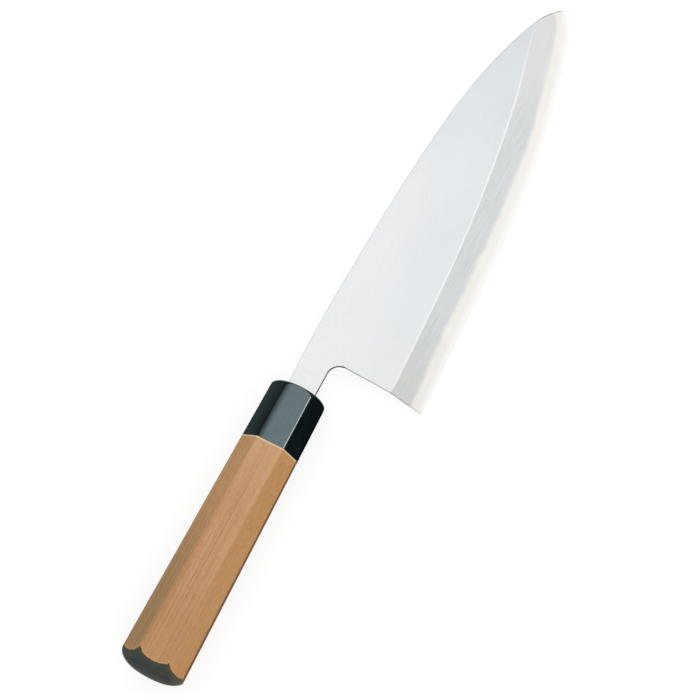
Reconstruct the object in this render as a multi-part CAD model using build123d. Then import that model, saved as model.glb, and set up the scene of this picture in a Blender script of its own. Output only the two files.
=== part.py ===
"""Deba knife: a laminated single-bevel blade in an octagonal handle with a horn ferrule.

The knife is first built along its handle axis: +X runs from the ferrule's front face to the tip,
+Y up to the spine, and +Z out of the front of the blade. It is then laid down as it rests on a
table, front of the blade up, with the origin at the bottom centre of its box.
Lengths are in millimetres.
"""
from build123d import *
import os
from math import asin, copysign, cos, pi, sin

# Blade outline seen from the front. Stations run from the heel, 0, to the tip, 1.
blade_length = 210.0
heel_ahead_of_ferrule = 17.0
spine_above_axis = 7.0
heel_below_axis = 52.6
tip_below_axis = 23.1
station_shares = (0, 0.214, 0.429, 0.619, 0.786, 0.905, 0.971, 1)
spine_drop_shares = (0, 0.023, 0.09, 0.193, 0.375, 0.608, 0.818, 1)
edge_rise_shares = (0, 0.055, 0.118, 0.236, 0.44, 0.64, 0.824, 1)
bevel_width = 16.6
bevel_width_shares = (0.98, 0.97, 1.024, 1.09, 1.085, 1.08, 0.97, 0.86)

# Blade thickness. The back is flat, and the front face falls towards the tip and the edge.
back_below_axis = 4.0
heel_thickness = 7.4
tip_thickness = 2.3
front_fall = 1.0
arris_round = 0.45
grinding_waste = 2.0

# Neck, and the rounded notch between neck and heel.
neck_height = 13.7
neck_top_above_axis = 6.5
notch_radius = 6.0
heel_lean = 1.8
heel_corner_radius = 1.1
heel_corner_inset = 0.05
neck_clear_of_ferrule = 0.3

# Hard core layer. Its height follows the shares from the scarfed end in the neck to the tip.
core_thickness = 2.3
core_height_shares = (0.93, 0.99, 1.0, 0.87, 0.73, 0.62, 0.5, 0.45, 0.38, 0.3)
core_start_ahead_of_ferrule = 4.0
core_scarf_length = 7.0
core_wave_height = 0.05
core_wave_length = 27.0
core_wave_points = 40

# Hollow ground into the back, inside a flat rim.
hollow_depth = 0.45
hollow_start_share = 0.05
hollow_end_share = 0.92
hollow_edge_rim_share = 0.04
hollow_spine_rim_share = 0.06
hollow_ring_shares = (1.06, 1, 0.85, 0.6, 0.3)
hollow_depth_shares = (-0.22, 0, 0.5, 0.88, 1)
hollow_square_share = 0.7
hollow_points = 20

# Hidden tang, tapering in height and in thickness.
tang_length = 105.0
tang_middle_height = 9.5
tang_end_height = 5.5
tang_middle_thickness = 6.2
tang_end_thickness = 3.0

# Octagonal handle, tapering from the butt to the ferrule.
handle_length = 148.0
ferrule_length = 31.0
handle_front_height = 26.1
handle_butt_height = 30.7
handle_front_width = 21.7
handle_butt_width = 25.8
facet_leg_share = 0.258
facet_lean_share = 1.1
facet_arris_round = 0.5

# Both ends of the handle are turned: a flat crown and a rounded shoulder, taller than wide.
# The butt is turned a little off the axis, towards the edge's side.
front_crown_radius = 70.0
front_crown_span = 18.0
front_shoulder_radius = 3.7
butt_crown_radius = 50.0
butt_crown_span = 16.6
butt_shoulder_radius = 8.0
butt_turned_below_axis = 0.55
turned_oval_share = 1.135

# Wooden dowel that joins ferrule and handle, and the resin bedding round the tang.
dowel_diameter = 16.5
tang_past_dowel = 34.0
horn_front_wall = 10.0
glue_gap = 0.1
bedding_gap = 0.4
seal_depth = 1.6
seal_recess = 0.3

# Point of the edge that touches the table, as a share from the heel to the tip.
edge_contact_share = 0.905

# Overrun of each cut past the faces that it cuts.
overrun = 5.0

# Places that follow from the sizes above.
heel_x = heel_ahead_of_ferrule
tip_x = heel_x + blade_length
back_z = -back_below_axis
neck_start_x = neck_clear_of_ferrule
neck_bottom_y = neck_top_above_axis - neck_height
neck_middle_y = neck_top_above_axis - neck_height / 2
butt_x = -handle_length
joint_x = -ferrule_length
dowel_front_x = -horn_front_wall
tang_end_x = -tang_length
dowel_back_x = tang_end_x + tang_past_dowel
front_taper = (heel_thickness - tip_thickness) / blade_length
front_tilt = front_fall / (spine_above_axis + heel_below_axis - bevel_width)


def mix(start, end, share):
    """Value a share of the way from start to end."""
    return start + (end - start) * share


def front_z(x, y):
    """Height of the blade's flat front face over a point of its outline."""
    fall = front_taper * (x - heel_x) + front_tilt * (spine_above_axis - y)
    return back_z + heel_thickness - fall


def closed_face(points):
    """Flat face inside straight lines through the points."""
    return Face(Wire.make_polygon(points, close=True))


def box_between(low, high):
    """Box between two opposite corners."""
    size = Vector(*high) - Vector(*low)
    return Solid.make_box(size.X, size.Y, size.Z, Plane(low))


def station_x():
    """Stations along the blade, from the heel to the tip."""
    return [mix(heel_x, tip_x, share) for share in station_shares]


def spine_points():
    """Spine from the heel's station to the tip."""
    return [(x, mix(spine_above_axis, -tip_below_axis, share))
            for x, share in zip(station_x(), spine_drop_shares)]


def edge_points():
    """Cutting edge from the heel to the tip."""
    return [(x, mix(-heel_below_axis, -tip_below_axis, share))
            for x, share in zip(station_x(), edge_rise_shares)]


def blank_face():
    """Outline of neck and blade, with waste left along the edge for grinding."""
    spine = Spline([(neck_start_x, neck_top_above_axis), *spine_points()])
    waste = Spline([(x, y - grinding_waste) for x, y in edge_points()])
    heel_foot = (heel_x, -heel_below_axis - grinding_waste)
    heel_top = (heel_x + heel_lean, neck_bottom_y)
    neck_foot = (neck_start_x, neck_bottom_y)
    notch = FilletPolyline(heel_foot, heel_top, neck_foot, radius=notch_radius)
    tip_wall = Line(spine @ 1, waste @ 1)
    neck_wall = Line(neck_foot, spine @ 0)
    edges = [spine.edge(), tip_wall.edge(), waste.edge(), *notch.edges(), neck_wall.edge()]
    return Face(Wire(edges))


def front_waste():
    """All that lies above the blade's flat front face."""
    low_y = -heel_below_axis - grinding_waste - overrun
    high_y = spine_above_axis + overrun
    low_x = neck_start_x - overrun
    high_x = tip_x + overrun
    places = ((low_x, low_y), (high_x, low_y), (high_x, high_y), (low_x, high_y))
    face = closed_face([(x, y, front_z(x, y)) for x, y in places])
    return Solid.extrude(face, Vector(0, 0, heel_thickness * 2))


def bevel_waste():
    """All that is ground away above the bevel, a ruled surface from the edge to its ridge."""
    feet = [Vector(x, y, back_z) for x, y in edge_points()]
    ridge = []
    for foot, share in zip(feet, bevel_width_shares):
        ridge_y = foot.Y + bevel_width * share
        ridge.append(Vector(foot.X, ridge_y, front_z(foot.X, ridge_y)))
    reach = overrun / bevel_width
    below = [foot - (top - foot) * reach for foot, top in zip(feet, ridge)]
    above = [top + (top - foot) * reach for foot, top in zip(feet, ridge)]
    rails = []
    for rail in (below, above):
        before = rail[0] - (rail[1] - rail[0]) * reach
        after = rail[-1] * 2 - rail[-2]
        rails.append(Edge.make_spline([before, *rail, after]))
    surface = Face.make_surface_from_curves(rails[0], rails[1])
    return Solid.extrude(surface, Vector(0, 0, heel_thickness * 2))


def heel_corner_waste():
    """All that lies outside the small round of the heel's corner."""
    reach = heel_corner_radius - heel_corner_inset
    middle_x, middle_y = heel_x + reach, reach - heel_below_axis
    low = (heel_x - overrun, -heel_below_axis - overrun, back_z - overrun)
    block = box_between(low, (middle_x, middle_y, heel_thickness))
    plane = Plane((middle_x, middle_y, back_z - 2 * overrun))
    return block - Solid.make_cylinder(heel_corner_radius, heel_thickness + 3 * overrun, plane)


def ground_plate():
    """Neck and blade ground to shape, before the layers are told apart."""
    face = blank_face().moved(Location((0, 0, back_z)))
    plate = Solid.extrude(face, Vector(0, 0, heel_thickness * 2)) - front_waste()
    plate = plate.solid()
    broken = []
    for edge in plate.edges():
        middle = edge @ 0.5
        on_front = abs(middle.Z - front_z(middle.X, middle.Y)) < glue_gap
        clear_of_edge = middle.Y > bevel_width - heel_below_axis
        if on_front and clear_of_edge and neck_start_x < middle.X < tip_x:
            broken.append(edge)
    return plate.fillet(arris_round, broken) - bevel_waste() - heel_corner_waste()


def tang_section(x, height, thickness, grow):
    """Four-sided section of the tang, its front side parallel to the blade's front face."""
    share = (x - neck_start_x) / (tang_end_x - neck_start_x)
    y = mix(neck_middle_y, 0, share)
    z = mix((back_z + front_z(neck_start_x, neck_middle_y)) / 2, 0, share)
    half = height / 2 + grow
    lean = front_tilt * half
    low = z - thickness / 2 - grow
    high = z + thickness / 2 + grow
    return Wire.make_polygon([
        (x, y + half, low),
        (x, y + half, high + lean),
        (x, y - half, high - lean),
        (x, y - half, low),
    ], close=True)


def tang_solid(grow, front_x):
    """Tang from the neck to its end, or, grown, the slot that it is bedded in."""
    neck_thickness = front_z(neck_start_x, neck_middle_y) - back_z
    sections = [
        tang_section(neck_start_x, neck_height, neck_thickness, grow),
        tang_section(joint_x, tang_middle_height, tang_middle_thickness, grow),
        tang_section(tang_end_x, tang_end_height, tang_end_thickness, grow),
    ]
    tang = Solid.make_loft(sections, ruled=True)
    if grow:
        end = Solid.extrude(Face(sections[-1]), Vector(-grow, 0, 0))
        mouth = Solid.extrude(Face(sections[0]), Vector(front_x - neck_start_x, 0, 0))
        tang = tang + end + mouth
    return tang


def core_region():
    """All that lies below the weld line between the core and the cladding."""
    start_x = core_start_ahead_of_ferrule
    top_x = start_x + core_scarf_length
    end_x = tip_x + overrun
    heights = Spline([(index, share) for index, share in enumerate(core_height_shares)])
    points = []
    for index in range(core_wave_points + 1):
        share = index / core_wave_points
        x = mix(top_x, end_x, share)
        height = core_thickness * (heights @ share).Y
        wave = core_wave_height * sin(2 * pi * (x - top_x) / core_wave_length)
        points.append((x, 0, back_z + height + wave))
    top = Edge.make_spline([Vector(*point) for point in points])
    floor_z = back_z - overrun
    walls = Edge.make_line
    start, end = points[0], points[-1]
    scarf_foot = (start_x - overrun, 0, floor_z)
    corners = [end, (end_x, 0, floor_z), scarf_foot, (start_x, 0, back_z), start]
    sides = [walls(first, second) for first, second in zip(corners, corners[1:])]
    face = Face(Wire([top, *sides]))
    reach = heel_below_axis + grinding_waste + overrun
    return Solid.extrude(face.moved(Location((0, -reach, 0))), Vector(0, 2 * reach, 0))


def hollow_waste():
    """Shallow hollow in the back, lofted through rings that shrink as they go deeper."""
    spine = Spline(spine_points())
    edge = Spline(edge_points())
    middle_u = (hollow_start_share + hollow_end_share) / 2
    reach_u = (hollow_end_share - hollow_start_share) / 2
    middle_v = (hollow_edge_rim_share + 1 - hollow_spine_rim_share) / 2
    reach_v = (1 - hollow_edge_rim_share - hollow_spine_rim_share) / 2
    rings = []
    for ring_share, depth_share in zip(hollow_ring_shares, hollow_depth_shares):
        points = []
        for index in range(hollow_points):
            turn = 2 * pi * index / hollow_points
            along = copysign(abs(cos(turn)) ** hollow_square_share, cos(turn))
            across = copysign(abs(sin(turn)) ** hollow_square_share, sin(turn))
            u = middle_u + reach_u * ring_share * along
            v = middle_v + reach_v * ring_share * across
            low, high = edge @ u, spine @ u
            place = low + (high - low) * v
            points.append(Vector(place.X, place.Y, back_z + hollow_depth * depth_share))
        rings.append(Wire([Edge.make_spline(points, periodic=True)]))
    return Solid.make_loft(rings)


def octagon(x):
    """Corners of the tapering handle's section, an octagon a little taller than wide."""
    share = x / butt_x
    half_height = mix(handle_front_height, handle_butt_height, share) / 2
    half_width = mix(handle_front_width, handle_butt_width, share) / 2
    leg = 2 * half_height * facet_leg_share
    flat_y = half_height - leg
    flat_z = half_width - leg * facet_lean_share
    quarter = [(half_height, flat_z), (flat_y, half_width)]
    points = quarter + [(-y, z) for y, z in reversed(quarter)]
    points += [(y, -z) for y, z in reversed(points)]
    return [(x, y, z) for y, z in points]


def octagonal_prism(front_x, back_x):
    """Tapering octagonal length of the handle, its facets flat and its arrises softened."""
    front, back = octagon(front_x), octagon(back_x)
    faces = [closed_face(front), closed_face(back)]
    for index, corner in enumerate(front):
        faces.append(closed_face([front[index - 1], corner, back[index], back[index - 1]]))
    prism = Solid(Shell(faces))
    arrises = [edge for edge in prism.edges() if edge.length > (front_x - back_x) / 2
               and abs((edge % 0.5).X) > 0.9]
    return prism.fillet(facet_arris_round, arrises)


def dowel_bore(front_x, back_x):
    """Bore for the dowel, with room for glue."""
    radius = dowel_diameter / 2 + glue_gap
    return Solid.make_cylinder(radius, front_x - back_x, Plane((back_x, 0, 0), z_dir=(1, 0, 0)))


def turned_end(apex_x, inward, crown_radius, crown_span, shoulder_radius):
    """Half outline of a turned end, from its apex on the axis to the end of its shoulder."""
    crown_r = crown_span / 2
    crown_turn = asin(crown_r / crown_radius)
    turns = [(crown_radius, 0, 0, crown_turn / 2), (crown_radius, 0, 0, crown_turn)]
    shoulder_depth = crown_radius * (1 - cos(crown_turn)) - shoulder_radius * (1 - cos(crown_turn))
    shoulder_r = crown_r - shoulder_radius * sin(crown_turn)
    for turn in ((crown_turn + pi / 2) / 2, pi / 2):
        turns.append((shoulder_radius, shoulder_depth, shoulder_r, turn))
    points = [Vector(apex_x, 0, 0)]
    for radius, depth, middle_r, turn in turns:
        x = apex_x + inward * (depth + radius * (1 - cos(turn)))
        points.append(Vector(x, 0, middle_r + radius * sin(turn)))
    crown = Edge.make_three_point_arc(*points[:3])
    shoulder = Edge.make_three_point_arc(*points[2:])
    return crown, shoulder, points[-1]


def turned_envelope():
    """Turned body whose domed ends round the ferrule's front and the butt."""
    front_crown, front_shoulder, front_rim = turned_end(
        0, -1, front_crown_radius, front_crown_span, front_shoulder_radius)
    butt_crown, butt_shoulder, butt_rim = turned_end(
        butt_x, 1, butt_crown_radius, butt_crown_span, butt_shoulder_radius)
    wide_r = handle_butt_height
    outer = [front_rim, (front_rim.X - overrun, 0, wide_r), (butt_rim.X + overrun, 0, wide_r), butt_rim]
    sides = [Edge.make_line(first, second) for first, second in zip(outer, outer[1:])]
    axis = Edge.make_line((butt_x, 0, 0), (0, 0, 0))
    profile = Wire([front_crown, front_shoulder, *sides, butt_shoulder, butt_crown, axis])
    return scale(Solid.revolve(Face(profile), 360, Axis.X), by=(1, turned_oval_share, 1))


def ferrule():
    """Horn ferrule: rounded front, mouth for the tang, blind bore for the dowel."""
    horn = octagonal_prism(overrun, joint_x) & turned_envelope()
    return horn - dowel_bore(dowel_front_x, joint_x - overrun) - tang_solid(bedding_gap, overrun)


def handle_body():
    """Wooden octagon with a domed butt, bored for the dowel and slotted for the tang."""
    envelope = turned_envelope().moved(Location((0, -butt_turned_below_axis, 0)))
    body = octagonal_prism(joint_x, butt_x - overrun) & envelope
    bore = dowel_bore(joint_x + overrun, dowel_back_x - glue_gap)
    return body - bore - tang_solid(bedding_gap, overrun)


def tang_dowel():
    """Round dowel across the joint, slotted for the tang."""
    plane = Plane((dowel_back_x, 0, 0), z_dir=(1, 0, 0))
    length = dowel_front_x - glue_gap - dowel_back_x
    dowel = Solid.make_cylinder(dowel_diameter / 2, length, plane)
    return dowel - tang_solid(bedding_gap, overrun)


def bedding_between(blade, back_x, front_x):
    """Resin that fills the slot round the tang between two places on the axis."""
    reach = handle_butt_height
    slab = box_between((back_x, -reach, -reach), (front_x, reach, reach))
    return (tang_solid(bedding_gap, overrun) & slab) - blade


def build_nodes():
    """Every piece of the knife, along its handle axis."""
    blade = ground_plate() + tang_solid(0, neck_start_x)
    region = core_region()
    return {
        "blade_cladding": blade - region,
        "blade_core": (blade & region) - hollow_waste(),
        "horn_ferrule": ferrule(),
        "handle_body": handle_body(),
        "tang_dowel": tang_dowel(),
        "tang_bedding": bedding_between(blade, tang_end_x - overrun, -seal_depth),
        "mouth_seal": bedding_between(blade, -seal_depth, -seal_recess),
    }


def resting_place(nodes):
    """Location that lays the knife down on the ferrule's lower corner and the edge's belly."""
    edge = Spline([(x, y, back_z) for x, y in edge_points()])
    contact = edge @ edge_contact_share
    along = edge % edge_contact_share
    half_height = handle_front_height / 2
    corner_y = handle_front_height * facet_leg_share - half_height
    corner = Vector(-front_shoulder_radius, corner_y, -handle_front_width / 2)
    up = (contact - corner).cross(along)
    if up.Z < 0:
        up = -up
    forward = Vector(1, 0, 0) - up * (up.X / up.dot(up))
    table = Plane(origin=contact, x_dir=forward, z_dir=up)
    laid = [node.moved(table.location.inverse()) for node in nodes]
    box = Compound(children=laid).bounding_box()
    middle = box.center()
    return Location((-middle.X, -middle.Y, -box.min.Z)) * table.location.inverse()


def main():
    """Build, lay down and write every piece."""
    os.makedirs("parts", exist_ok=True)
    nodes = {name: shape.solid() for name, shape in build_nodes().items()}
    place = resting_place(list(nodes.values()))
    for name, shape in nodes.items():
        export_step(shape.moved(place), f"parts/{name}.step")


main()
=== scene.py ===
"""Deba knife: materials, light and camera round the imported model."""
import math

import bpy
from mathutils import Euler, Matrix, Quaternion, Vector

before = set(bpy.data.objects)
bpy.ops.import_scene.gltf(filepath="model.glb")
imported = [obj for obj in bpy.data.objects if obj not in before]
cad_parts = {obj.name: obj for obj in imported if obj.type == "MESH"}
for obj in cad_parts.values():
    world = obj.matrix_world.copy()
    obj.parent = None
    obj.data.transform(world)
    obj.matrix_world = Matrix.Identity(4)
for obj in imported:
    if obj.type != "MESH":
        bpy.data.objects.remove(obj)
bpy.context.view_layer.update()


def srgb(red, green, blue):
    """Linear colour from 8-bit sRGB values."""
    def linear(value):
        value /= 255
        return value / 12.92 if value <= 0.04045 else ((value + 0.055) / 1.055) ** 2.4
    return (linear(red), linear(green), linear(blue), 1.0)


# Lengths are in metres. The knife's own axes run along its handle: x from the ferrule's front to
# the tip, y to the spine, z out of the front of the blade. This is where they lie in the frame.
MM = 0.001
KNIFE_PLACE = (-0.0394, 0.0183, 0.01125)
KNIFE_TURN = (math.radians(4.372), math.radians(1.2882), 0)

# Camera.
CAMERA_AIM = (-0.01184, 0.00721, 0.01203)
CAMERA_AZIMUTH = math.radians(-60.7)
CAMERA_ELEVATION = math.radians(69.78)
CAMERA_ROLL = math.radians(-2.818)
CAMERA_DISTANCE = 1.9023
CAMERA_LENS = 216.9
CAMERA_SENSOR = 36.0
CAMERA_CLIP_END = 50.0

# Light. The sky brightens from the horizon up to a share of the way to straight above, and keeps
# its zenith's level from there. A lamp's level is the brightness of its square face.
HORIZON_LEVEL = 0.3
ZENITH_LEVEL = 1.02
ZENITH_SHARE = 0.8
KEY_AIM = (0, 0, 0)
KEY_LAMP = dict(azimuth=math.radians(-40), elevation=math.radians(42),
                distance=1.6, size=0.9, level=1.2)
SHEEN_LAMP = dict(azimuth=math.radians(94.5), elevation=math.radians(69.4),
                  distance=1.0, size=0.26, level=14.0)

# Floor.
FLOOR_SIZE = 24.0
FLOOR_BASE = 0.25
FLOOR_GLOW = 0.8
FLOOR_ROUGHNESS = 0.9

# Values that the materials share. A fade, here and below, is two limits of what a look follows,
# and the share or value that the look has at each, where these aren't 0 and 1. A band is two
# limits and a margin outside them. Fades and bands with outward, spineward or tipward in their
# names follow how far a surface faces the front, the spine or the tip.
FULL_NOISE = (0.3, 0.7)
OUTWARD = (0.6, 0.7)
ARRIS_SAMPLES = 8

# Blade: fades along it.
BEVEL_STARTS = (15.5 * MM, 17 * MM)
RIDGE_STARTS = (19 * MM, 22 * MM)
RIDGE_WEAKENS = (180 * MM, 212 * MM, 1.0, 0.15)
FRONT_COOLS = (20 * MM, 60 * MM)
FRONT_DARKENS = (140 * MM, 195 * MM)
SPINE_SHEEN_ENDS = (150 * MM, 110 * MM)
HEEL_WARMTH = (55 * MM, 20 * MM, 0, 0.5)
TIP_PALENESS = (165 * MM, 192 * MM, 0, 0.6)
WELD_WANDER_CALMS = (110 * MM, 170 * MM, 0.11, 0.05)
TIP_LINE_STARTS = (198 * MM, 214 * MM, 0, 0.85)
HEEL_LINE_STARTS = (30 * MM, 25 * MM, 0, 0.6)

# Blade: fades across it.
SPINE_SHEEN = (-26 * MM, 0, 0, 0.7)
ARRIS_LINE_WEAKENS = (-8 * MM, -50 * MM, 1.0, 0.6)

# Blade: roundness of its arrises and depth of its marks.
OUTLINE_RADIUS = 1.4 * MM
RIDGE_RADIUS = 1 * MM
FRONT_ARRIS_RADIUS = 0.35 * MM
BEVEL_ARRIS_RADIUS = 0.02 * MM
SOFT_STEEL_RELIEF = 0.012 * MM
HARD_STEEL_RELIEF = 0.006 * MM

# Weld line between the two steels: its height over the back at even steps along the blade.
BACK_Z = -4 * MM
WELD_START_X = 11 * MM
WELD_END_X = 232 * MM
WELD_HEIGHT = 2.3 * MM
WELD_HEIGHT_SHARES = (0.93, 0.99, 1.0, 0.87, 0.73, 0.62, 0.5, 0.45, 0.38, 0.3)

# Ferrule: its end and front, fades across it, roundness of its arrises and depth of its marks.
JOINT_X = -31 * MM
HORN_FRONT_Z = 11 * MM
HORN_SPINE_SIDE = (6 * MM, 12 * MM)
HORN_SHEEN = (6.8 * MM, 3 * MM, 0.03, 0.17)
HORN_SHEEN_ENDS = (-7.2 * MM, -6.6 * MM)
HORN_SPINE_SHEEN = (6 * MM, 11.5 * MM, 0, 0.03)
HIGHLIGHT_ARRIS_RADIUS = 0.25 * MM
HORN_ARRIS_RADIUS = (-1 * MM, 1 * MM, 0.2 * MM, 0.3 * MM)
HORN_RELIEF = 0.002 * MM

# Handle: fades along and across it, roundness of its arrises and depth of its marks.
BUTT_X = -148 * MM
STREAKS_DEEPEN = (-60 * MM, -110 * MM)
WOOD_FRONT_DARKER_TO_BUTT = (-85 * MM, -125 * MM, 0, 0.4)
WOOD_FRONT_PALER_TO_FERRULE = (-65 * MM, -36 * MM, 0, 0.35)
JOINT_EDGE = (JOINT_X - 0.9 * MM, JOINT_X - 0.5 * MM, 0, 0.85)
SPINE_SIDE_SHADE_ACROSS = (6.5 * MM, 10 * MM, 0.55, 1.1)
GRAIN_WANDER_REACH = 1.2 * MM
FACET_RADIUS = 1.0 * MM
WOOD_ARRIS_RADIUS = 0.9 * MM
WOOD_RELIEF = 0.015 * MM

# Turned butt, on which its dark colour ends, and fades along, across and into it.
CROWN_DEPTH = 0.58 * MM
SHOULDER_RADIUS = 8 * MM
SHOULDER_MIDDLE_RADIUS = 6.97 * MM
BUTT_BELOW_AXIS = 0.55 * MM
TURNED_OVAL = 1.135
DARK_BUTT_REACH = (BUTT_X + 16 * MM, BUTT_X + 14 * MM)
DARK_BUTT_DEPTH = (-0.3 * MM, -0.15 * MM)
DARK_BUTT_RAGGED = (*FULL_NOISE, -0.15 * MM, 0.15 * MM)
DARK_BUTT_PALER_ACROSS = (-9 * MM, -15 * MM, 0, 0.7)
RIM_REACH = (BUTT_X + 10 * MM, BUTT_X + 8 * MM)
RIM_DEPTH = (-0.9 * MM, -0.4 * MM, 0, 0.6)

# Pieces inside the handle: depth of their marks.
DOWEL_RELIEF = 0.03 * MM
RESIN_RELIEF = 0.02 * MM


def knife_point(x, y, z):
    """Place in the frame of a point given along the knife's own axes."""
    return Euler(KNIFE_TURN).to_matrix() @ Vector((x, y, z)) + Vector(KNIFE_PLACE)


class Graph:
    """A material and short ways to add nodes to it."""

    def __init__(self, name):
        self.material = bpy.data.materials.new(name)
        self.material.use_nodes = True
        self.tree = self.material.node_tree
        self.shader = self.tree.nodes["Principled BSDF"]

    def put(self, socket, value):
        """Link an output to an input, or set the input to a plain value."""
        if isinstance(value, bpy.types.NodeSocket):
            self.tree.links.new(value, socket)
        else:
            socket.default_value = value

    def set(self, **values):
        """Set or link inputs of the shader, spaces in their names written as underscores."""
        for name, value in values.items():
            self.put(self.shader.inputs[name.replace("_", " ")], value)

    def node(self, kind, inputs=(), **settings):
        """Add a node with its settings, and fill its inputs by name or number."""
        made = self.tree.nodes.new(kind)
        for name, value in settings.items():
            setattr(made, name, value)
        for key, value in dict(inputs).items():
            self.put(made.inputs[key], value)
        return made

    def math(self, operation, first, second=0.0, third=0.0):
        """Result of one sum."""
        inputs = {0: first, 1: second, 2: third}
        return self.node("ShaderNodeMath", inputs, operation=operation).outputs[0]

    def product(self, first, *others):
        """All the values multiplied."""
        for other in others:
            first = self.math("MULTIPLY", first, other)
        return first

    def ramp(self, value, low, high, low_out=0.0, high_out=1.0, kind="LINEAR"):
        """Value carried from one range to another and held at its ends."""
        inputs = {0: value, 1: low, 2: high, 3: low_out, 4: high_out}
        return self.node("ShaderNodeMapRange", inputs, interpolation_type=kind).outputs[0]

    def band(self, value, low, high, soft):
        """1 while a value is between two limits, falling to 0 within a margin outside them."""
        rise = self.ramp(value, low - soft, low)
        return self.product(rise, self.ramp(value, high + soft, high))

    def curve(self, value, heights):
        """Value read off a smooth line through heights at even steps from 0 to 1."""
        made = self.node("ShaderNodeFloatCurve", {1: value})
        points = made.mapping.curves[0].points
        for index, height in enumerate(heights):
            place = (index / (len(heights) - 1), height)
            if index in (0, len(heights) - 1):
                points[0 if index == 0 else -1].location = place
            else:
                points.new(*place)
        made.mapping.update()
        return made.outputs[0]

    def blend(self, share, first, second):
        """Two colours mixed."""
        made = self.node("ShaderNodeMix", data_type="RGBA")
        self.put(made.inputs[0], share)
        self.put(made.inputs[6], first)
        self.put(made.inputs[7], second)
        return made.outputs[2]

    def layered(self, colour, *layers):
        """A colour with others laid over it in turn, each by its own share."""
        for share, other in layers:
            colour = self.blend(share, colour, other)
        return colour

    def between(self, share, first, second):
        """Two values mixed."""
        made = self.node("ShaderNodeMix", {0: share, 2: first, 3: second}, data_type="FLOAT")
        return made.outputs[0]

    def split(self, vector):
        """The three parts of a vector."""
        return self.node("ShaderNodeSeparateXYZ", {0: vector}).outputs

    def knife_axes(self):
        """Place on the surface along the knife's own axes, in metres."""
        place = self.node("ShaderNodeTexCoord").outputs["Object"]
        inputs = {"Vector": place, "Location": KNIFE_PLACE, "Rotation": KNIFE_TURN}
        return self.node("ShaderNodeMapping", inputs, vector_type="TEXTURE").outputs[0]

    def facing(self, normal=None):
        """How far the surface, or a given normal, faces the tip, the spine and the front."""
        if normal is None:
            normal = self.node("ShaderNodeNewGeometry").outputs["True Normal"]
        local = self.node("ShaderNodeVectorTransform", {"Vector": normal}, vector_type="NORMAL",
                          convert_from="WORLD", convert_to="OBJECT").outputs[0]
        inputs = {"Vector": local, "Rotation": KNIFE_TURN}
        turned = self.node("ShaderNodeMapping", inputs, vector_type="TEXTURE").outputs[0]
        return self.split(turned)

    def noise(self, place, repeats, detail=2.0, roughness=0.5, distortion=0.0):
        """Soft noise about 0.5 on the average, with its repeats per metre in x, y and z."""
        inputs = {"Vector": place, "Scale": repeats}
        stretched = self.node("ShaderNodeMapping", inputs).outputs[0]
        inputs = {"Vector": stretched, "Scale": 1.0, "Detail": detail,
                  "Roughness": roughness, "Distortion": distortion}
        return self.node("ShaderNodeTexNoise", inputs).outputs[0]

    def bump(self, height, distance, normal=None):
        """Normal from a height, whose full range is a real distance."""
        inputs = {"Height": height, "Distance": distance}
        if normal:
            inputs["Normal"] = normal
        return self.node("ShaderNodeBump", inputs).outputs[0]

    def rounded(self, radius):
        """Normal that rounds the arrises by a radius."""
        inputs = {"Radius": radius}
        return self.node("ShaderNodeBevel", inputs, samples=ARRIS_SAMPLES).outputs[0]


# Ground bevel. A level is a height over the back, in heights of the weld line.
BEVEL_STREAKS = dict(repeats=(60, 4500, 900), detail=4, roughness=0.65)
BEVEL_CLOUDS = dict(repeats=(60, 240, 60), detail=3)
WELD_WAVES = dict(repeats=(110, 1, 1), detail=3, roughness=0.6)
WELD_WANDER = (*FULL_NOISE, -1, 1)
WELD_FRAY = (*FULL_NOISE, -0.06, 0.06)
WELD_LEVEL = (0.8, 1.22)
EDGE_LEVEL = (0.5, 0.15)
HARD_CLOUDED = (0.4, 0.7, 0, 0.5)
BEVEL_ROUGHNESS = (*FULL_NOISE, 0.27, 0.37)
SOFT_BEVEL_DARK = srgb(200, 204, 206)
SOFT_BEVEL_LIGHT = srgb(230, 233, 234)
SOFT_BEVEL_HEEL = srgb(214, 213, 206)
SOFT_BEVEL_TIP = srgb(228, 226, 225)
HARD_BEVEL_DARK = srgb(241, 238, 232)
HARD_BEVEL_LIGHT = srgb(249, 247, 243)
HARD_BEVEL_CLOUD = srgb(242, 238, 232)
HARD_BEVEL_EDGE = srgb(253, 251, 248)


def ground_bevel(g, place):
    """Colour, roughness, relief and level of the bevel, across the soft weld of both steels."""
    along, _, height = g.split(place)
    weld = g.curve(g.ramp(along, WELD_START_X, WELD_END_X), WELD_HEIGHT_SHARES)
    level = g.math("DIVIDE", g.math("SUBTRACT", height, BACK_Z), g.product(weld, WELD_HEIGHT))
    streaks = g.noise(place, **BEVEL_STREAKS)
    waves = g.noise(place, **WELD_WAVES)
    cloud = g.noise(place, **BEVEL_CLOUDS)
    wander = g.product(g.ramp(waves, *WELD_WANDER), g.ramp(along, *WELD_WANDER_CALMS))
    shift = g.math("ADD", wander, g.ramp(streaks, *WELD_FRAY))
    outside = g.ramp(g.math("ADD", level, shift), *WELD_LEVEL, kind="SMOOTHSTEP")
    soft_steel = g.layered(
        g.blend(g.ramp(streaks, *FULL_NOISE), SOFT_BEVEL_DARK, SOFT_BEVEL_LIGHT),
        (g.ramp(along, *HEEL_WARMTH), SOFT_BEVEL_HEEL),
        (g.ramp(along, *TIP_PALENESS), SOFT_BEVEL_TIP),
    )
    hard_steel = g.layered(
        g.blend(g.ramp(streaks, *FULL_NOISE), HARD_BEVEL_DARK, HARD_BEVEL_LIGHT),
        (g.ramp(cloud, *HARD_CLOUDED), HARD_BEVEL_CLOUD),
        (g.ramp(level, *EDGE_LEVEL), HARD_BEVEL_EDGE),
    )
    colour = g.blend(outside, hard_steel, soft_steel)
    rough = g.ramp(streaks, *BEVEL_ROUGHNESS)
    return colour, rough, streaks, level
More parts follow.
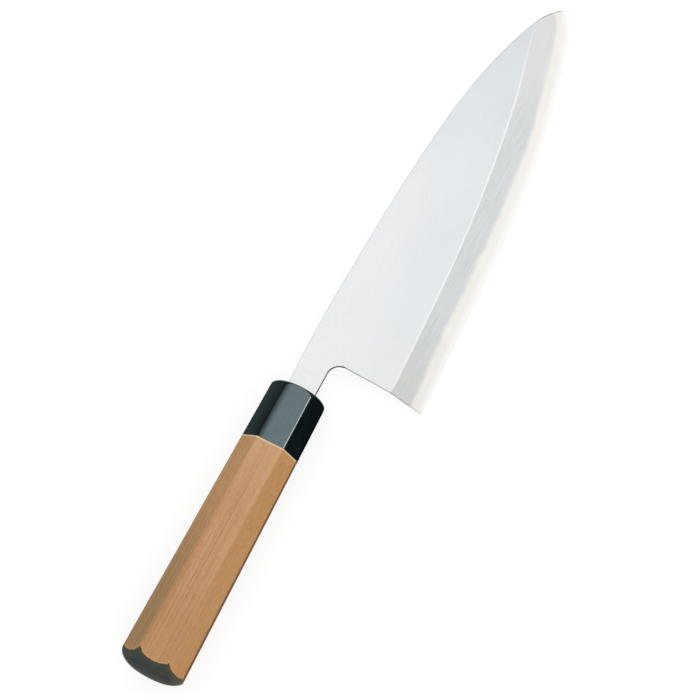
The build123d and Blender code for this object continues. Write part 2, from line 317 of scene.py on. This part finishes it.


# Painted shade: fine dark lines along the tip and under the heel.
TIP_LINE_OUTWARD = (0.955, 0.92)
TIP_LINE_SPINEWARD = (0.05, 0.12)
TIP_SHADE_LINE_COLOUR = srgb(112, 112, 110)
HEEL_LINE_TIPWARD = (-0.3, -0.5)
HEEL_SHADE_LINE_COLOUR = srgb(92, 94, 84)


def with_shade_lines(g, place, outward, colour):
    """Colour with the painted shade lines, the fine dark lines that the blade shows along its tip
    and under its heel.
    """
    along = g.split(place)[0]
    turned_tipward, turned_spineward, turned_outward = g.facing(g.rounded(OUTLINE_RADIUS))
    tip = g.product(
        g.ramp(turned_outward, *TIP_LINE_OUTWARD),
        g.ramp(turned_spineward, *TIP_LINE_SPINEWARD),
        g.ramp(along, *TIP_LINE_STARTS),
    )
    heel = g.product(
        g.ramp(turned_tipward, *HEEL_LINE_TIPWARD),
        g.ramp(outward, *OUTWARD),
        g.ramp(along, *HEEL_LINE_STARTS),
    )
    return g.layered(colour, (tip, TIP_SHADE_LINE_COLOUR), (heel, HEEL_SHADE_LINE_COLOUR))


# Soft steel.
SATIN = dict(repeats=(500, 2600, 900), detail=5, roughness=0.7)
SATIN_SHADED = (0.35, 0.65, 0.5, 0)
SATIN_ROUGHNESS = (*FULL_NOISE, 0.36, 0.44)
SATIN_RELIEF_SHARE = 0.25
FRONT_CLOUDS = dict(repeats=(22, 30, 22), detail=3)
FRONT_CLOUDED = (0.35, 0.7, 0, 0.3)
FRONT_HEEL = srgb(238, 238, 235)
FRONT_MIDDLE = srgb(231, 235, 238)
FRONT_SPINE_SHEEN = srgb(246, 245, 245)
FRONT_TIP = srgb(220, 225, 229)
SATIN_SHADE = srgb(218, 222, 226)
FRONT_CLOUD = srgb(240, 242, 244)
BEVEL_SPINEWARD = (-0.05, -0.08)
BEVEL_TIPWARD = (-0.2, -0.1)
RIDGE_TURN = (0.01, 0.025)
RIDGE_OUTWARD = (0.92, 0.95)
RIDGE_SPINEWARD = (-0.03, -0.05)
RIDGE_LEVEL = (1.95, 2.15)
RIDGE_METAL = (0, 1, 1.0, 0.2)
RIDGE_HIGHLIGHT_COLOUR = srgb(254, 254, 255)
WALL_OUTWARD = (0.3, 0.15)
WALL_REFLECTION_WHITE = srgb(252, 252, 252)
WALL_ROUGHNESS = 0.2
ARRIS_OUTWARD = (0.12, 0.955, 0.025)
ARRIS_SPINEWARD = (0.1, -0.1)
ARRIS_SHADE_COLOUR = srgb(12, 12, 11)


def make_cladding():
    """Soft steel: satin front with a painted sheen by the spine, streaked ground bevel, walls
    painted white, a painted highlight on the ridge and painted shade on the arrises.
    """
    g = Graph("cladding_steel")
    place = g.knife_axes()
    along, across, _ = g.split(place)
    tipward, spineward, outward = g.facing()
    _, turned_spineward, turned_outward = g.facing(g.rounded(RIDGE_RADIUS))
    bevel = g.product(
        g.ramp(spineward, *BEVEL_SPINEWARD),
        g.ramp(outward, *OUTWARD),
        g.ramp(tipward, *BEVEL_TIPWARD),
        g.ramp(along, *BEVEL_STARTS),
    )
    satin = g.noise(place, **SATIN)
    cloud = g.noise(place, **FRONT_CLOUDS)
    # Painted sheen: a paler band on the front along the spine, from the handle to about
    # mid-blade.
    spine_sheen = g.product(g.ramp(across, *SPINE_SHEEN), g.ramp(along, *SPINE_SHEEN_ENDS))
    front = g.layered(
        g.blend(g.ramp(along, *FRONT_COOLS), FRONT_HEEL, FRONT_MIDDLE),
        (spine_sheen, FRONT_SPINE_SHEEN),
        (g.ramp(along, *FRONT_DARKENS), FRONT_TIP),
        (g.ramp(satin, *SATIN_SHADED), SATIN_SHADE),
        (g.ramp(cloud, *FRONT_CLOUDED), FRONT_CLOUD),
    )
    ground, ground_rough, streaks, level = ground_bevel(g, place)
    turn = g.math("ABSOLUTE", g.math("SUBTRACT", turned_spineward, spineward))
    # Painted highlight: a white, less metallic line along the ridge between the front and the
    # bevel.
    ridge = g.product(
        g.ramp(turn, *RIDGE_TURN),
        g.ramp(turned_outward, *RIDGE_OUTWARD),
        g.ramp(turned_spineward, *RIDGE_SPINEWARD),
        g.ramp(along, *RIDGE_STARTS),
        g.ramp(along, *RIDGE_WEAKENS),
        g.ramp(level, *RIDGE_LEVEL),
    )
    # Painted reflection: the walls are whitened to show the white they reflect.
    wall = g.ramp(outward, *WALL_OUTWARD)
    # Painted shade: a dark line on the rounded front arris along the notch and heel.
    arris_shade = g.product(
        g.band(turned_outward, *ARRIS_OUTWARD),
        g.ramp(turned_spineward, *ARRIS_SPINEWARD),
        g.math("SUBTRACT", 1.0, bevel),
        g.ramp(across, *ARRIS_LINE_WEAKENS),
    )
    colour = g.layered(
        front,
        (bevel, ground),
        (ridge, RIDGE_HIGHLIGHT_COLOUR),
        (wall, WALL_REFLECTION_WHITE),
        (arris_shade, ARRIS_SHADE_COLOUR),
    )
    colour = g.blend(bevel, colour, with_shade_lines(g, place, outward, colour))
    g.set(Base_Color=colour, Metallic=g.ramp(ridge, *RIDGE_METAL))
    rough = g.between(bevel, g.ramp(satin, *SATIN_ROUGHNESS), ground_rough)
    g.set(Roughness=g.between(wall, rough, WALL_ROUGHNESS))
    height = g.between(bevel, g.product(satin, SATIN_RELIEF_SHARE), streaks)
    radius = g.ramp(bevel, 0, 1, FRONT_ARRIS_RADIUS, BEVEL_ARRIS_RADIUS)
    g.set(Normal=g.bump(height, SOFT_STEEL_RELIEF, g.rounded(radius)))
    return g.material


# Hard steel.
BACK_SATIN = dict(repeats=(90, 3200, 900), detail=4, roughness=0.6)
BACK_OUTWARD = (-0.5, -0.7)
BACK_WALL_OUTWARD = (-0.3, -0.15)
BACK_ROUGHNESS = (*FULL_NOISE, 0.3, 0.42)
BACK_DARK = srgb(206, 210, 213)
BACK_LIGHT = srgb(226, 229, 231)


def make_core():
    """Hard steel: pale polished strip along the edge and a satin hollow back, its walls painted
    white and painted shade lines at the tip and heel.
    """
    g = Graph("core_steel")
    place = g.knife_axes()
    outward = g.facing()[2]
    ground, ground_rough, streaks, _ = ground_bevel(g, place)
    satin = g.noise(place, **BACK_SATIN)
    back = g.ramp(outward, *BACK_OUTWARD)
    # Painted reflection: the walls are whitened over both steels to show the white they reflect.
    wall = g.product(g.ramp(outward, *WALL_OUTWARD), g.ramp(outward, *BACK_WALL_OUTWARD))
    colour = g.layered(
        ground,
        (back, g.blend(g.ramp(satin, *FULL_NOISE), BACK_DARK, BACK_LIGHT)),
        (wall, WALL_REFLECTION_WHITE),
    )
    g.set(Base_Color=with_shade_lines(g, place, outward, colour), Metallic=1.0)
    rough = g.between(back, ground_rough, g.ramp(satin, *BACK_ROUGHNESS))
    g.set(Roughness=g.between(wall, rough, WALL_ROUGHNESS))
    g.set(Normal=g.bump(g.between(back, streaks, satin), HARD_STEEL_RELIEF))
    return g.material


# Horn.
HORN_BANDS = dict(repeats=(60, 160, 160), detail=4, distortion=0.6)
HORN_BANDED = (0.4, 0.75)
HORN_POLISH = dict(repeats=(300, 2400, 2400), detail=3)
HORN_ROUGHNESS = (*FULL_NOISE, 0.13, 0.19)
HORN_TINT = (0.72, 0.94, 1.0, 1.0)
HORN_PLAIN_GLOSS = 0.03
HORN_EDGE_SIDE_GLOSS = 0.0
HORN_EDGE_SIDE = (-0.8, -0.9)
# Painted highlight along one arris: where it lies, and its colour below.
HIGHLIGHT_SPINEWARD = (-0.6, -0.14, 0.08)
HIGHLIGHT_TIPWARD = (0.25, 0.08)
HORN_BLACK = srgb(2, 10, 12)
HORN_SMOKE = srgb(8, 20, 23)
HORN_SPINE_SIDE_PAINTED_LIGHT = srgb(20, 38, 39)
HORN_ARRIS_HIGHLIGHT = srgb(186, 198, 198)


def make_horn():
    """Polished black horn with faint smoky bands, fine polishing lines, a painted lighter spine
    side and a painted highlight along one arris.
    """
    g = Graph("horn")
    place = g.knife_axes()
    across = g.split(place)[1]
    spineward = g.facing()[1]
    turned_tipward, turned_spineward, turned_outward = g.facing(g.rounded(HIGHLIGHT_ARRIS_RADIUS))
    bands = g.noise(place, **HORN_BANDS)
    polish = g.noise(place, **HORN_POLISH)
    # Painted highlight: a pale line along the arris between the top facet and the edge-side
    # facet.
    arris_highlight = g.product(
        g.band(turned_spineward, *HIGHLIGHT_SPINEWARD),
        g.ramp(turned_outward, *OUTWARD),
        g.ramp(turned_tipward, *HIGHLIGHT_TIPWARD),
    )
    colour = g.layered(
        g.blend(g.ramp(bands, *HORN_BANDED), HORN_BLACK, HORN_SMOKE),
        # Painted light: the spine-side facet is lightened to stand in for the light it catches.
        (g.ramp(across, *HORN_SPINE_SIDE), HORN_SPINE_SIDE_PAINTED_LIGHT),
        (arris_highlight, HORN_ARRIS_HIGHLIGHT),
    )
    g.set(Base_Color=colour, Roughness=g.ramp(polish, *HORN_ROUGHNESS))
    gloss = g.ramp(across, *HORN_SHEEN, kind="SMOOTHSTEP")
    gloss = g.math("ADD", gloss, g.ramp(across, *HORN_SPINE_SHEEN))
    gloss = g.between(g.ramp(across, *HORN_SHEEN_ENDS), HORN_PLAIN_GLOSS, gloss)
    gloss = g.between(g.ramp(spineward, *HORN_EDGE_SIDE), gloss, HORN_EDGE_SIDE_GLOSS)
    g.set(Specular_IOR_Level=gloss, Specular_Tint=HORN_TINT)
    soft = g.rounded(g.ramp(across, *HORN_ARRIS_RADIUS))
    g.set(Normal=g.bump(polish, HORN_RELIEF, soft))
    return g.material


# Open wood of the handle.
GRAIN_WANDER = dict(repeats=(9, 60, 60), detail=2)
GRAIN_WANDER_WAY = (0, 1, 1)
WOOD_BANDS = dict(repeats=(3, 260, 160), detail=2)
WOOD_RINGS = dict(repeats=(3, 1250, 420), detail=3, roughness=0.55)
WOOD_FIBRES = dict(repeats=(45, 5200, 5200), detail=3, roughness=0.6)
WOOD_BLOTCHES = dict(repeats=(14, 50, 50), detail=2)
WOOD_FLECKS = dict(repeats=(420, 1500, 1500), detail=3, roughness=0.6)
WOOD_BANDED = (0.4, 0.6)
RING_DARK = (0.5, 0.36)
RING_DARK_TO_BUTT = (0, 1, 0.35, 0.9)
RING_DARK_ON_FRONT = (-0.6, -0.3, 0.35, 1)
RING_PALE = (0.54, 0.66, 0, 0.6)
RING_ON_SPINE_SIDE = (0.35, 0.65, 0.65, 0.4)
FIBRE_SHADED = (0.35, 0.75, 0.25, 0)
FLECK_DARK = (0.3, 0.5, 0.22, 0)
FLECK_PALE = (0.5, 0.7, 0, 0.22)
BLOTCHED = (0.4, 0.7, 0, 0.3)
EDGE_FACET_SPINEWARD = (-0.2, -0.65)
SPINE_FACET_SPINEWARD = (0.4, 0.6, 0, 0.5)
SPINE_SIDE_SPINEWARD = (0.1, 0.65)
WOOD_FRONT_OUTWARD = (0.7, 0.9)
WOOD_SIDE_SPINEWARD = (0.85, 0.96, 0.05)
WOOD_SIDE_SHARE = 0.75
WOOD_EDGE_SIDE = (-0.8, -0.9, 0, 0.4)
WOOD_ROUGHNESS = (*FULL_NOISE, 0.42, 0.55)
WOOD_GLOSS = (0.8, 0.9, 0.4, 0.0)
RING_RELIEF_SHARE = 0.5
WOOD_DARK = srgb(194, 144, 97)
WOOD_LIGHT = srgb(204, 160, 114)
WOOD_EDGE_FACET = srgb(210, 156, 98)
WOOD_SPINE_FACET = srgb(196, 146, 86)
WOOD_RING_DARK = srgb(180, 119, 78)
WOOD_RING_PALE = srgb(218, 176, 132)
WOOD_FIBRE = srgb(164, 112, 68)
WOOD_FLECK_DARK = srgb(150, 100, 58)
WOOD_FLECK_PALE = srgb(226, 186, 140)
WOOD_FRONT_BUTT_TONE = srgb(162, 115, 66)
WOOD_FRONT_FERRULE_TONE = srgb(214, 174, 132)
WOOD_BLOTCH = srgb(196, 146, 92)
WOOD_SPINE_SIDE_SHADE = srgb(136, 112, 72)
WOOD_SIDE_SHADE = srgb(76, 62, 44)
WOOD_JOINT = srgb(242, 214, 174)


def bent_grain(g, place):
    """Place on the surface, shifted sideways a little so that the grain isn't dead straight."""
    reach = g.product(g.noise(place, **GRAIN_WANDER), GRAIN_WANDER_REACH)
    inputs = {0: GRAIN_WANDER_WAY, "Scale": reach}
    shift = g.node("ShaderNodeVectorMath", inputs, operation="SCALE").outputs[0]
    return g.node("ShaderNodeVectorMath", {0: place, 1: shift}, operation="ADD").outputs[0]


def open_wood(g, place, facing):
    """Colour of the wood with painted shade on its sides, and the noise of its fibres and of its
    rings.
    """
    along, across, _ = g.split(place)
    _, spineward, outward = facing
    turned_spineward = g.facing(g.rounded(FACET_RADIUS))[1]
    bent = bent_grain(g, place)
    bands = g.noise(bent, **WOOD_BANDS)
    rings = g.noise(bent, **WOOD_RINGS)
    fibres = g.noise(bent, **WOOD_FIBRES)
    blotches = g.noise(place, **WOOD_BLOTCHES)
    flecks = g.noise(place, **WOOD_FLECKS)
    near_butt = g.ramp(along, *STREAKS_DEEPEN)
    front = g.ramp(outward, *WOOD_FRONT_OUTWARD)
    dark_rings = g.product(
        g.ramp(rings, *RING_DARK),
        g.ramp(near_butt, *RING_DARK_TO_BUTT),
        g.ramp(spineward, *RING_DARK_ON_FRONT),
    )
    # Painted shade: the spine-side facet is darkened towards the butt, following the rings.
    spine_side_shade = g.product(
        g.ramp(turned_spineward, *SPINE_SIDE_SPINEWARD),
        near_butt,
        g.ramp(rings, *RING_ON_SPINE_SIDE),
        g.ramp(across, *SPINE_SIDE_SHADE_ACROSS),
    )
    # Painted shade: the side flats are darkened, the edge-side flat most.
    side = g.band(g.math("ABSOLUTE", turned_spineward), *WOOD_SIDE_SPINEWARD)
    edge_side_shade = g.ramp(spineward, *WOOD_EDGE_SIDE)
    side = g.math("MAXIMUM", g.product(side, WOOD_SIDE_SHARE), edge_side_shade)
    colour = g.layered(
        g.blend(g.ramp(bands, *WOOD_BANDED), WOOD_DARK, WOOD_LIGHT),
        (g.ramp(turned_spineward, *EDGE_FACET_SPINEWARD), WOOD_EDGE_FACET),
        (g.ramp(spineward, *SPINE_FACET_SPINEWARD), WOOD_SPINE_FACET),
        (dark_rings, WOOD_RING_DARK),
        (g.product(g.ramp(rings, *RING_PALE), near_butt), WOOD_RING_PALE),
        (g.ramp(fibres, *FIBRE_SHADED), WOOD_FIBRE),
        (g.ramp(flecks, *FLECK_DARK), WOOD_FLECK_DARK),
        (g.ramp(flecks, *FLECK_PALE), WOOD_FLECK_PALE),
        # The front facet is darker towards the butt and paler towards the ferrule.
        (g.product(g.ramp(along, *WOOD_FRONT_DARKER_TO_BUTT), front), WOOD_FRONT_BUTT_TONE),
        (g.product(g.ramp(along, *WOOD_FRONT_PALER_TO_FERRULE), front), WOOD_FRONT_FERRULE_TONE),
        (g.ramp(blotches, *BLOTCHED), WOOD_BLOTCH),
        (spine_side_shade, WOOD_SPINE_SIDE_SHADE),
        (side, WOOD_SIDE_SHADE),
        (g.ramp(along, *JOINT_EDGE), WOOD_JOINT),
    )
    return colour, fibres, rings


def turned_depth(g, place):
    """How far a place lies outside the turned butt's surface, negative further inside."""
    x, y, z = g.split(place)
    rise = g.ramp(x, BUTT_X + CROWN_DEPTH, BUTT_X + CROWN_DEPTH + SHOULDER_RADIUS, 1, 0)
    rise = g.math("SQRT", g.math("SUBTRACT", 1.0, g.math("POWER", rise, 2)))
    radius = g.math("MULTIPLY_ADD", rise, SHOULDER_RADIUS, SHOULDER_MIDDLE_RADIUS)
    across = g.math("DIVIDE", g.math("ADD", y, BUTT_BELOW_AXIS), TURNED_OVAL)
    reach = g.math("ADD", g.math("POWER", across, 2), g.math("POWER", z, 2))
    return g.math("SUBTRACT", g.math("SQRT", reach), radius)


# Dark butt, and the paler rim before it.
DARK_BUTT_GRAIN = dict(repeats=(700, 700, 700), detail=3)
DARK_BUTT_MOTTLE = dict(repeats=(220, 220, 220), detail=4, roughness=0.6)
DARK_BUTT_MOTTLED = (0.35, 0.65)
DARK_BUTT_TIPWARD = (-0.03, -0.06)
UNDERSIDE_SHADE_OUTWARD = (0.35, 0.1, 0, 0.6)
DARK_BUTT_ROUGHNESS = 0.45
DARK_BUTT_GLOSS = 0.03
DARK_BUTT_BROWN = srgb(84, 82, 66)
DARK_BUTT_BLUE = srgb(62, 76, 74)
DARK_BUTT_UNDERSIDE_SHADE = srgb(34, 38, 34)
DARK_BUTT_PALER_EDGE_SIDE = srgb(118, 112, 88)
RIM_COLOUR = srgb(212, 148, 88)


def dark_butt(g, place, facing):
    """Share of the pale rim, share of the dark butt, and the dark butt's colour."""
    along, across, _ = g.split(place)
    tipward, _, outward = facing
    ragged = g.ramp(g.noise(place, **DARK_BUTT_GRAIN), *DARK_BUTT_RAGGED)
    depth = g.math("ADD", turned_depth(g, place), ragged)
    rim = g.product(g.ramp(depth, *RIM_DEPTH), g.ramp(along, *RIM_REACH))
    dome = g.math("MAXIMUM", g.ramp(depth, *DARK_BUTT_DEPTH), g.ramp(tipward, *DARK_BUTT_TIPWARD))
    mottle = g.noise(place, **DARK_BUTT_MOTTLE)
    colour = g.layered(
        g.blend(g.ramp(mottle, *DARK_BUTT_MOTTLED), DARK_BUTT_BROWN, DARK_BUTT_BLUE),
        # Painted shade: the butt is darker where it turns away from the top.
        (g.ramp(outward, *UNDERSIDE_SHADE_OUTWARD), DARK_BUTT_UNDERSIDE_SHADE),
        # Paler towards the edge side.
        (g.ramp(across, *DARK_BUTT_PALER_ACROSS), DARK_BUTT_PALER_EDGE_SIDE),
    )
    return rim, g.product(dome, g.ramp(along, *DARK_BUTT_REACH)), colour


def make_wood():
    """Fine straight-grained wood, with its turned butt dark."""
    g = Graph("handle_wood")
    place = g.knife_axes()
    facing = g.facing()
    colour, fibres, rings = open_wood(g, place, facing)
    rim, dome, dark_butt_colour = dark_butt(g, place, facing)
    g.set(Base_Color=g.layered(colour, (rim, RIM_COLOUR), (dome, dark_butt_colour)))
    g.set(Roughness=g.between(dome, g.ramp(fibres, *WOOD_ROUGHNESS), DARK_BUTT_ROUGHNESS))
    gloss = g.ramp(g.math("ABSOLUTE", facing[1]), *WOOD_GLOSS)
    g.set(Specular_IOR_Level=g.between(dome, gloss, DARK_BUTT_GLOSS))
    height = g.math("ADD", fibres, g.product(rings, RING_RELIEF_SHARE))
    g.set(Normal=g.bump(height, WOOD_RELIEF, g.rounded(WOOD_ARRIS_RADIUS)))
    return g.material


# Dowel and resins.
DOWEL_GRAIN = dict(repeats=(12, 900, 900), detail=4)
DOWEL_ROUGHNESS = (*FULL_NOISE, 0.6, 0.75)
DOWEL_DARK = srgb(190, 160, 116)
DOWEL_LIGHT = srgb(216, 190, 146)
RESIN_SPECKS = dict(repeats=(900, 900, 900), detail=3)
RESIN_SPECKLED = (0.4, 0.7)
RESIN_ROUGHNESS = (*FULL_NOISE, 0.4, 0.6)
BEDDING_DARK = srgb(96, 72, 44)
BEDDING_LIGHT = srgb(128, 100, 64)
SEAL_DARK = srgb(26, 26, 25)
SEAL_LIGHT = srgb(44, 43, 40)


def make_dowel():
    """Raw turned hardwood inside the handle."""
    g = Graph("dowel_wood")
    grain = g.noise(g.knife_axes(), **DOWEL_GRAIN)
    g.set(Base_Color=g.blend(g.ramp(grain, *FULL_NOISE), DOWEL_DARK, DOWEL_LIGHT))
    g.set(Roughness=g.ramp(grain, *DOWEL_ROUGHNESS))
    g.set(Normal=g.bump(grain, DOWEL_RELIEF))
    return g.material


def make_resin(name, dark, light):
    """Set resin with fine specks."""
    g = Graph(name)
    specks = g.noise(g.knife_axes(), **RESIN_SPECKS)
    g.set(Base_Color=g.blend(g.ramp(specks, *RESIN_SPECKLED), dark, light))
    g.set(Roughness=g.ramp(specks, *RESIN_ROUGHNESS))
    g.set(Normal=g.bump(specks, RESIN_RELIEF))
    return g.material


def dress():
    """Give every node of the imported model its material."""
    looks = {
        "blade_cladding": make_cladding(),
        "blade_core": make_core(),
        "horn_ferrule": make_horn(),
        "handle_body": make_wood(),
        "tang_dowel": make_dowel(),
        "tang_bedding": make_resin("bedding_resin", BEDDING_DARK, BEDDING_LIGHT),
        "mouth_seal": make_resin("mouth_resin", SEAL_DARK, SEAL_LIGHT),
    }
    for name, material in looks.items():
        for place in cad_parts[name].material_slots:
            place.material = material


def make_floor():
    """Pale floor that shows white to the camera and keeps the knife's shadow."""
    mesh = bpy.data.meshes.new("floor")
    half = FLOOR_SIZE / 2
    corners = [(-half, -half, 0), (half, -half, 0), (half, half, 0), (-half, half, 0)]
    mesh.from_pydata(corners, [], [(0, 1, 2, 3)])
    floor = bpy.data.objects.new("floor", mesh)
    bpy.context.scene.collection.objects.link(floor)
    g = Graph("floor_paper")
    rays = g.node("ShaderNodeLightPath").outputs
    seen = g.math("MAXIMUM", rays["Is Camera Ray"], rays["Is Glossy Ray"])
    seen = g.math("MAXIMUM", seen, rays["Is Transmission Ray"])
    g.set(Base_Color=(FLOOR_BASE, FLOOR_BASE, FLOOR_BASE, 1), Roughness=FLOOR_ROUGHNESS)
    g.set(Emission_Color=(1, 1, 1, 1), Emission_Strength=g.product(seen, FLOOR_GLOW))
    g.set(Specular_IOR_Level=0.0)
    mesh.materials.append(g.material)


def make_world():
    """Plain soft light from all round."""
    world = bpy.data.worlds.new("studio")
    world.use_nodes = True
    nodes, links = world.node_tree.nodes, world.node_tree.links
    sky = nodes.new("ShaderNodeTexCoord")
    height = nodes.new("ShaderNodeSeparateXYZ")
    level = nodes.new("ShaderNodeMapRange")
    level.interpolation_type = "SMOOTHSTEP"
    level.inputs["From Max"].default_value = ZENITH_SHARE
    level.inputs["To Min"].default_value = HORIZON_LEVEL
    level.inputs["To Max"].default_value = ZENITH_LEVEL
    nodes["Background"].inputs["Color"].default_value = (1, 1, 1, 1)
    links.new(sky.outputs["Generated"], height.inputs[0])
    links.new(height.outputs[2], level.inputs["Value"])
    links.new(level.outputs[0], nodes["Background"].inputs["Strength"])
    bpy.context.scene.world = world


def direction(azimuth, elevation):
    """Unit vector, azimuth 0 towards -Y and 90 towards +X, in radians."""
    level = math.cos(elevation)
    return Vector((math.sin(azimuth) * level, -math.cos(azimuth) * level, math.sin(elevation)))


def stand_back(thing, aim, azimuth, elevation, distance, roll=0.0):
    """Put a lamp or a camera at a distance from what it points at."""
    back = direction(azimuth, elevation)
    thing.location = Vector(aim) + back * distance
    thing.rotation_mode = "QUATERNION"
    upright = (-back).to_track_quat("-Z", "Y")
    thing.rotation_quaternion = upright @ Quaternion((0, 0, 1), roll)


def make_lamp(name, aim, azimuth, elevation, distance, size, level):
    """Soft square lamp whose face has a given brightness."""
    lamp = bpy.data.lights.new(name, "AREA")
    lamp.shape = "SQUARE"
    lamp.size = size
    lamp.energy = level * math.pi * size ** 2
    holder = bpy.data.objects.new(name, lamp)
    bpy.context.scene.collection.objects.link(holder)
    holder.visible_camera = False
    stand_back(holder, aim, azimuth, elevation, distance)
    return holder


def light_only(lamp, name):
    """Keep a lamp's light to one node of the model."""
    lit = bpy.data.collections.new(name + "_only")
    lit.objects.link(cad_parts[name])
    lamp.light_linking.receiver_collection = lit


def make_camera():
    """Camera at the viewing angle of the photograph."""
    data = bpy.data.cameras.new("camera")
    data.sensor_width = CAMERA_SENSOR
    data.lens = CAMERA_LENS
    data.clip_end = CAMERA_CLIP_END
    camera = bpy.data.objects.new("camera", data)
    bpy.context.scene.collection.objects.link(camera)
    stand_back(camera, CAMERA_AIM, CAMERA_AZIMUTH, CAMERA_ELEVATION, CAMERA_DISTANCE, CAMERA_ROLL)
    bpy.context.scene.camera = camera


def main():
    """Dress the knife and set up the stage round it."""
    bpy.context.scene.view_settings.view_transform = "Standard"
    dress()
    make_floor()
    make_world()
    make_lamp("key", KEY_AIM, **KEY_LAMP)
    sheen = make_lamp("sheen", knife_point(JOINT_X / 2, 0, HORN_FRONT_Z), **SHEEN_LAMP)
    light_only(sheen, "horn_ferrule")
    make_camera()


main()
